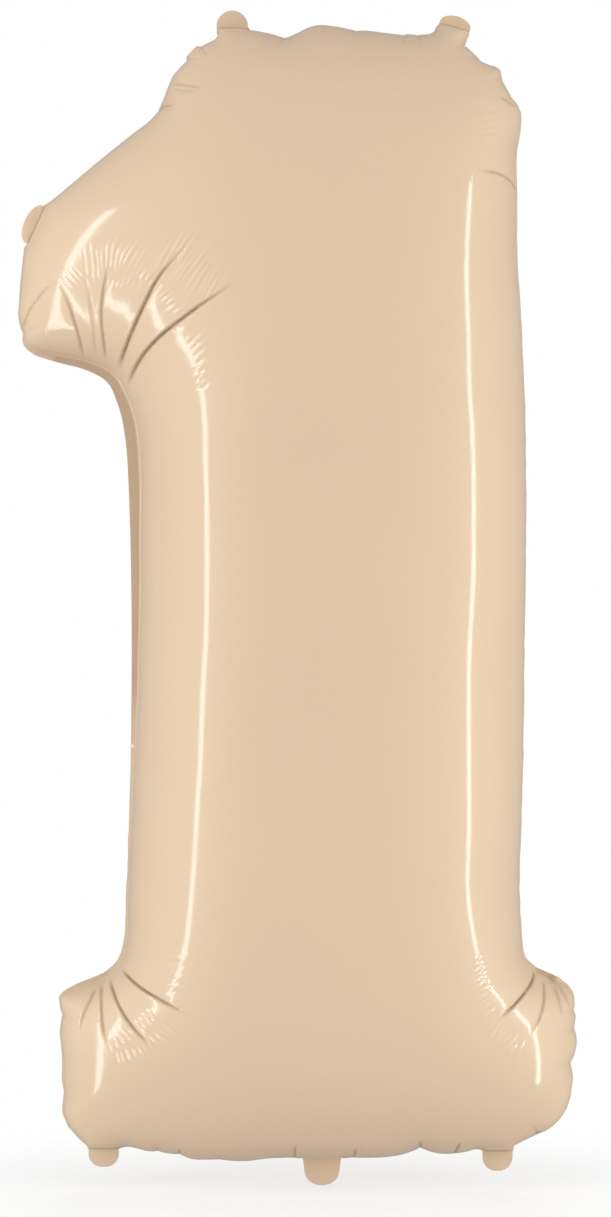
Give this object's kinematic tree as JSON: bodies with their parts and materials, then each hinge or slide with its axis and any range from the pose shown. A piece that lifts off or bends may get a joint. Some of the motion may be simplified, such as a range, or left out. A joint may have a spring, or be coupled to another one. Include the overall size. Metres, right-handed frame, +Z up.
{
  "type": "foil number balloon",
  "caption": "Inflated satin foil balloon shaped as the figure one, two welded films with tying flaps, an inflation tail and a flat self-sealing valve.",
  "frame": {"origin": "on the plane of the welded seam, below the middle of the balloon's width, level with the tip of the inflation tail", "axes": "+Z up the figure, -Y towards the viewer of the front film, +X to that viewer's right, so the figure's flag points to -X"},
  "size_m": [0.448, 0.2076, 0.9391],
  "materials": {
    "foil": "satin cream metallised film, softly glossy",
    "weld_foil": "the same film welded flat in two layers, slightly darker",
    "valve_film": "thin milky polyethylene film"
  },
  "bodies": {
    "envelope": {"front_film": "foil", "back_film": "foil", "valve_front_film": "valve_film", "valve_back_film": "valve_film"},
    "tail": {"tail_front_ply": "weld_foil", "tail_back_ply": "weld_foil"},
    "left_foot_flap": {"left_foot_tab": "weld_foil"},
    "right_foot_flap": {"right_foot_tab": "weld_foil"},
    "top_right_flap": {"top_right_tab": "weld_foil"},
    "top_left_flap": {"top_left_tab": "weld_foil"},
    "flag_flap": {"flag_tab": "weld_foil"}
  },
  "joints": [
    {"name": "tail_fold", "type": "hinge", "parent": "envelope", "child": "tail", "pos_m": [0.0195, 0, 0.0198], "axis": [1, 0, 0], "range_deg": [-90, 90], "stiffness_Nm_per_rad": 0.0002},
    {"name": "left_foot_flap_fold", "type": "hinge", "parent": "envelope", "child": "left_foot_flap", "pos_m": [-0.155, 0, 0.02875], "axis": [1, 0, 0], "range_deg": [-90, 90], "stiffness_Nm_per_rad": 0.00006},
    {"name": "right_foot_flap_fold", "type": "hinge", "parent": "envelope", "child": "right_foot_flap", "pos_m": [0.16, 0, 0.02725], "axis": [1, 0, 0], "range_deg": [-90, 90], "stiffness_Nm_per_rad": 0.00006},
    {"name": "top_right_flap_fold", "type": "hinge", "parent": "envelope", "child": "top_right_flap", "pos_m": [0.12596, 0, 0.92703], "axis": [-0.9613, 0, 0.2756], "range_deg": [-90, 90], "stiffness_Nm_per_rad": 0.00006},
    {"name": "top_left_flap_fold", "type": "hinge", "parent": "envelope", "child": "top_left_flap", "pos_m": [-0.0522, 0, 0.92625], "axis": [-1, 0, 0], "range_deg": [-90, 90], "stiffness_Nm_per_rad": 0.00006},
    {"name": "flag_flap_fold", "type": "hinge", "parent": "envelope", "child": "flag_flap", "pos_m": [-0.21005, 0, 0.7681], "axis": [-0.4163, 0, -0.9092], "range_deg": [-90, 90], "stiffness_Nm_per_rad": 0.00006}
  ]
}
